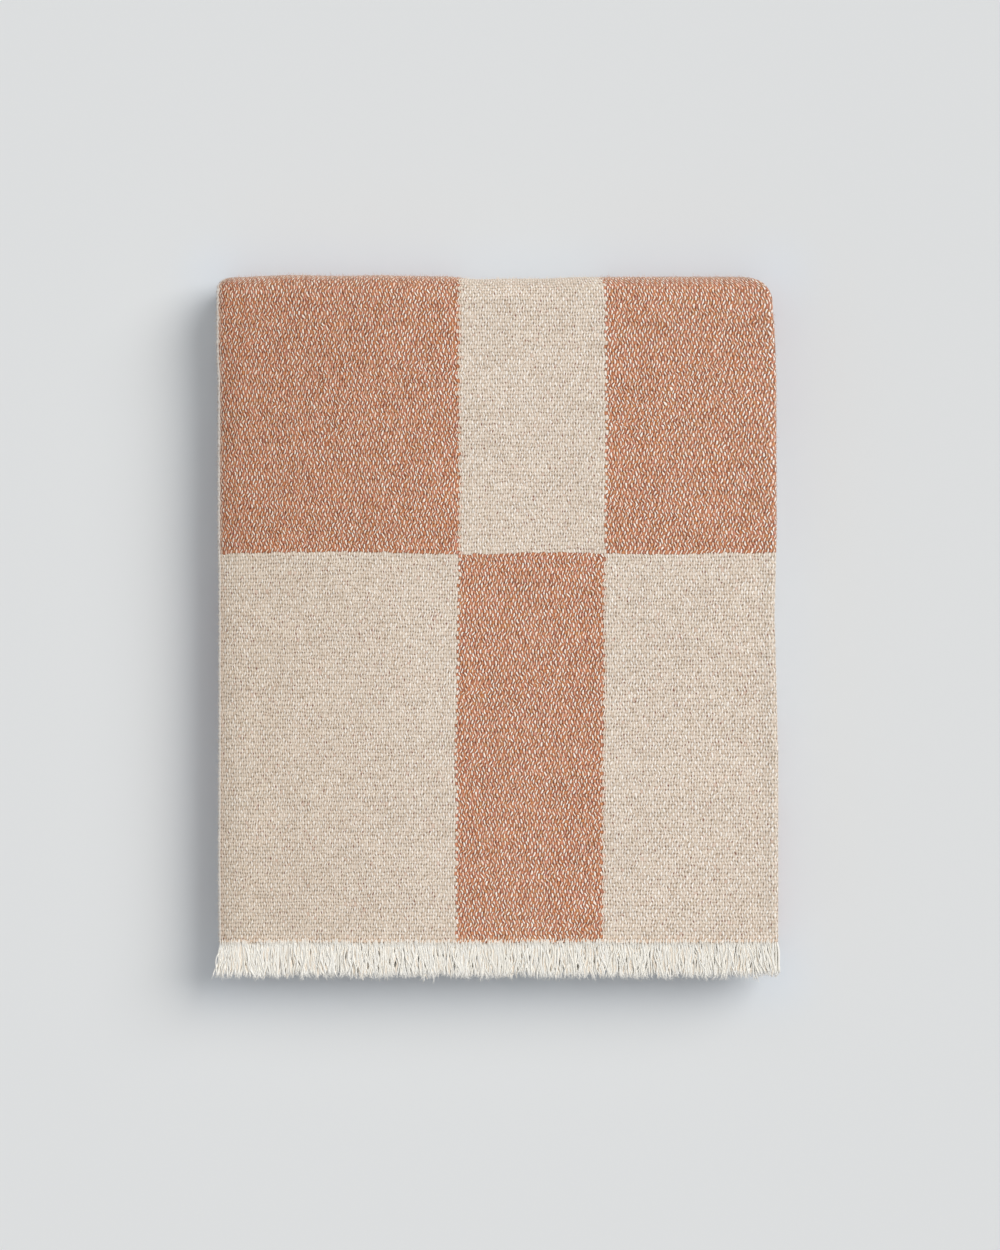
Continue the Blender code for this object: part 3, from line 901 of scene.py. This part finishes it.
far_in, w_in = cloth_piece("far_fold_inside", all_n, whole(all_n), spread_picks(M_IN0, M_IN1, 4.6 * MM), WOVEN, rim0=True, rim1=True)


def turn_with(obj):
    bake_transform(obj)


for o in (top_ply, top_rest, third):
    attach(o, UP)
for o in (second, bottom, near):
    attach(o, LOW)
for o, w in ((far_ply, w_ply), (far_rest, w_rest), (far_in, w_in)):
    turn_with(o)

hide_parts("top_quarter")
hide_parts("third_quarter")
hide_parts("second_quarter")
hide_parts("bottom_quarter")
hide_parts("near_fold")
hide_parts("far_fold_outer")
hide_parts("far_fold_inner")

# ------------------------------------------------------------------ the fringes
ROOT_M = 0.0


def frays(paths, radius, seed, each, length):
    """Loose fibres that spread from the cut tips."""
    rng = np.random.default_rng(seed)
    C = len(paths)
    tip = np.repeat(paths[:, -1], each, axis=0)
    d = paths[:, -1] - paths[:, -3]
    d = np.repeat(d / np.linalg.norm(d, axis=1, keepdims=True), each, axis=0)
    K = C * each
    P = 5
    t = np.linspace(0, 1, P)[None, :, None]
    L = rng.uniform(0.5, 1.0, K)[:, None, None] * length
    spread = rng.normal(0, 0.42, (K, 3)) * np.array([1.0, 0.6, 0.6])
    start = tip - d * 1.0 * MM + rng.normal(0, 0.22 * MM, (K, 3))
    path = start[:, None, :] + (d[:, None, :] * t + spread[:, None, :] * t ** 1.6) * L
    r = np.broadcast_to(rng.uniform(0.07, 0.15, K)[:, None] * MM * (1 - 0.45 * t[0, :, 0])[None], (K, P)).copy()
    return path, r


def make_fringe(n_list, m_root, seed, layers, droop, length=FRINGE, stray=1.0):
    """layers are (height, yarn radius, points, on show). The yarns on show have come apart into their plies."""
    parts = []
    for k, (level, radius, points, on_show) in enumerate(layers):
        n = np.asarray(n_list) + (0.0, 0.46, -0.25, 0.15)[k]
        paths, r, tint = fringe_row(n, m_root, seed + 13 * k, level, radius, points, droop, length, stray, on_show)
        # the lowest layer under the top fringe gets a tint above 1, for its painted shade in the yarn material
        tint = tint if on_show or len(layers) == 1 else tint + 1.0
        parts.append(tubes("yarns", paths, r, 6 if on_show else 5, YARN, tint, lobes=0.10 if on_show else 0.0, twist=math.pi / (2.2 * MM)))
        if on_show:
            fp, fr = frays(paths, r, seed + 50 + k, 5, 2.6 * MM)
            v, ps, y = tubes("frays", fp, fr, 4, YARN, np.repeat(tint, 5))
            y[:, 1] = 1.0
            y[:, 2] += 20
            parts.append((v, ps, y))
    return parts


SHOWN = [(0.20 * MM, 0.44 * MM, 24, True), (-0.04 * MM, 0.46 * MM, 22, True), (-0.30 * MM, 0.46 * MM, 18, True), (-0.55 * MM, 0.78 * MM, 12, False)]
HIDDEN = [(0.45 * MM, 0.78 * MM, 11, False)]


def fuzz(name, seed, n, m, ext, out_x, low, high):
    """Short loose fibres at ends n and picks m, in the cloth's own colours there."""
    rng = np.random.default_rng(seed)
    C = len(n)
    h = CLOTH / 2
    base = place(n, m, h * (ext == 0) - 0.05 * MM, ext)
    up = place(n, m, h * (ext == 0) + 0.5 * MM, ext * 1.0) - base
    along = place(n, m + 0.4, h * (ext == 0), ext) - place(n, m, h * (ext == 0), ext)
    across = np.cross(up, along)
    unit = lambda q: q / np.maximum(np.linalg.norm(q, axis=1, keepdims=True), 1e-9)
    up, along, across = unit(up), unit(along), unit(across)
    if out_x:
        up = unit(up * 0.3 + np.array([out_x, 0.0, 0.0]))
    d = up * rng.uniform(0.25, 1.0, (C, 1)) + along * rng.normal(0, 0.6, (C, 1)) + across * rng.normal(0, 0.6, (C, 1))
    d = unit(d)
    curl = along * rng.normal(0, 0.5, (C, 1)) + across * rng.normal(0, 0.5, (C, 1))
    L = rng.uniform(low, high, C)[:, None, None]
    t = np.linspace(0, 1, 4)[None, :, None]
    paths = base[:, None, :] + (d[:, None, :] * t + curl[:, None, :] * t * t * 0.7) * L
    r = rng.uniform(0.035, 0.065, C)[:, None] * MM * (1 - 0.5 * t[0, :, 0])[None]
    v, ps, y = tubes(name, paths, r, 3, WOVEN, np.zeros(C))
    per = len(v) // C
    mid_n, mid_m = np.floor(n) + 0.5, np.floor(m) + 0.5
    cloth = np.stack([np.repeat(mid_n, per), np.repeat(mid_m, per), np.ones(len(v))], axis=-1)
    o = mesh_object(name, v, ps, WOVEN, [("cloth", "FLOAT_VECTOR", cloth)])
    return o, np.repeat(blend_weight(m, n), per)


top_ends = np.arange(0, int(n_of(CUT_U[1]))) + 0.5
under_ends = np.arange(int(n_of(CUT_U[1])), ENDS) + 0.5
all_ends = np.arange(0, ENDS) + 0.5

fringe = joined("top_fringe_yarns", make_fringe(top_ends, ROOT_M, 301, SHOWN, 0.9 * MM, FRINGE - 1.3 * MM), YARN)
folded = joined("folded_fringe_yarns", make_fringe(under_ends, ROOT_M, 401, HIDDEN, 2.6 * MM, FRINGE - 1.8 * MM, 0.8), YARN)
inner = joined("inner_fringe_yarns", make_fringe(all_ends, PICKS - ROOT_M, 501, HIDDEN, 3.4 * MM, FRINGE - 1.8 * MM, 0.8), YARN)
for o, node in ((fringe, "top_fringe"), (folded, "folded_fringe"), (inner, "inner_fringe")):
    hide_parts(node)
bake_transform(fringe)
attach(folded, UP)
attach(inner, UP)

# loose fibres: along the right-hand turn and the selvedge, over the top, and round the far fold
_r = np.random.default_rng(77)
_n = np.concatenate([
    n_of(_r.uniform(CUT_U[1] + 0.001, CUT_U[2] - 0.001, 1000)),
    np.zeros(700),
    _r.uniform(1, n_of(CUT_U[1]), 1500),
])
_m = _r.uniform(1, M_FAR0 - 1, len(_n))
_e = np.concatenate([np.zeros(1000), np.full(700, -0.5 * MM), np.zeros(1500)])
fuzz_edge, _ = fuzz("loose_fibres_right", 71, _n[:1000], _m[:1000], _e[:1000], 0.5, 0.8 * MM, 2.2 * MM)
fuzz_left, _ = fuzz("loose_fibres_left", 72, _n[1000:1700], _m[1000:1700], _e[1000:1700], -1.0, 0.7 * MM, 1.9 * MM)
fuzz_top, _ = fuzz("loose_fibres_top", 73, _n[1700:], _m[1700:], _e[1700:], 0.0, 0.7 * MM, 1.7 * MM)
_n = _r.uniform(1, n_of(CUT_U[1]), 3600)
_m = (V_FAR0 + (V_FAR1 - V_FAR0) * _r.uniform(0.20, 0.62, 3600)) / PICK
fuzz_far, w_fuzz = fuzz("loose_fibres_far", 74, _n, _m, np.zeros(3600), 0.0, 0.9 * MM, 2.4 * MM)
for o in (fuzz_edge, fuzz_left, fuzz_top):
    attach(o, UP)
turn_with(fuzz_far)

# ------------------------------------------------------------------ floor, light and camera
floor_mesh = bpy.data.meshes.new("floor")
floor_mesh.from_pydata([(-6, -6, 0), (6, -6, 0), (6, 6, 0), (-6, 6, 0)], [], [(0, 1, 2, 3)])
floor_mat, fp_ = new_material("floor", 0.9)
# painted light: the floor is painted a shade bluer close to the cloth, to cancel the warm light that the cloth throws
# on it
_place = floor_mat.node_tree.nodes.new("ShaderNodeTexCoord")
_xyz = floor_mat.node_tree.nodes.new("ShaderNodeSeparateXYZ")
floor_mat.node_tree.links.new(_place.outputs["Object"], _xyz.inputs[0])
_qx, _qy = (n_max(n_abs(Num(_xyz.outputs[k])) - e, 0.0) for k, e in ((0, 0.176), (1, 0.221)))
_near = 1 - n_ramp(n_sqrt(_qx * _qx + _qy * _qy), 0.0, 0.060)
floor_mat.node_tree.links.new(c_mix(_near * _near, (0.790, 0.806, 0.815), (0.773, 0.815, 0.862)), fp_.inputs["Base Color"])
fp_.inputs["Specular IOR Level"].default_value = 0.0
floor_mesh.materials.append(floor_mat)
floor = bpy.data.objects.new("floor", floor_mesh)
bpy.context.scene.collection.objects.link(floor)
floor.location.z = -0.0002

declare_cloth(0, N_TURN, 0, M_FAR0)
declare_cloth(N_TURN, ENDS, 0, M_FAR0)
declare_cloth(0, ENDS, M_IN1, PICKS)
declare_cloth(0, ENDS, M_NEAR1, M_IN0)
declare_cloth(0, ENDS, M_FAR1, M_NEAR0)
declare_cloth(0, ENDS, M_NEAR0, M_NEAR1)
declare_cloth(0, N_TURN, M_FAR0, M_FAR1)
declare_cloth(N_TURN, ENDS, M_FAR0, M_FAR1)
declare_cloth(0, ENDS, M_IN0, M_IN1)

world = bpy.data.worlds.new("world")
bpy.context.scene.world = world
world.use_nodes = True
_wt = world.node_tree
_wt.nodes["Background"].inputs[0].default_value = (0.985, 0.995, 1.0, 1)
_wt.nodes["Background"].inputs[1].default_value = 0.030
# beyond the floor there is a plain pale backdrop, which lights nothing
_pale = _wt.nodes.new("ShaderNodeBackground")
_pale.inputs[0].default_value = (0.715, 0.730, 0.738, 1)
_path, _both = _wt.nodes.new("ShaderNodeLightPath"), _wt.nodes.new("ShaderNodeMixShader")
_wt.links.new(_path.outputs["Is Camera Ray"], _both.inputs[0])
_wt.links.new(_wt.nodes["Background"].outputs[0], _both.inputs[1])
_wt.links.new(_pale.outputs[0], _both.inputs[2])
_wt.links.new(_both.outputs[0], _wt.nodes["World Output"].inputs[0])


def sun(name, energy, angle, azimuth, elevation, colour):
    """A wide, soft light. Azimuth is from +X towards +Y."""
    data = bpy.data.lights.new(name, "SUN")
    data.energy, data.angle, data.color = energy, math.radians(angle), colour
    o = bpy.data.objects.new(name, data)
    bpy.context.scene.collection.objects.link(o)
    az, el = math.radians(azimuth), math.radians(elevation)
    o.rotation_mode = "QUATERNION"
    o.rotation_quaternion = Vector((math.cos(el) * math.cos(az), math.cos(el) * math.sin(az), math.sin(el))).to_track_quat("Z", "Y")


sun("key", 2.17, 46, 32, 39.3, (1.0, 0.99, 0.975))
sun("fill", 1.433, 141, 212, 78, (0.99, 0.995, 1.0))

cam_data = bpy.data.cameras.new("camera")
cam_data.lens = 100
cam_data.sensor_width = 36
cam = bpy.data.objects.new("camera", cam_data)
cam.location = (0.0016, 0.0006, 2.1875 + HEIGHT)
bpy.context.scene.collection.objects.link(cam)
bpy.context.scene.camera = cam
bpy.context.scene.view_settings.view_transform = "Standard"
bpy.context.scene.view_settings.look = "None"
bpy.context.scene.view_settings.exposure = 0.0
bpy.context.scene.view_settings.gamma = 1.0
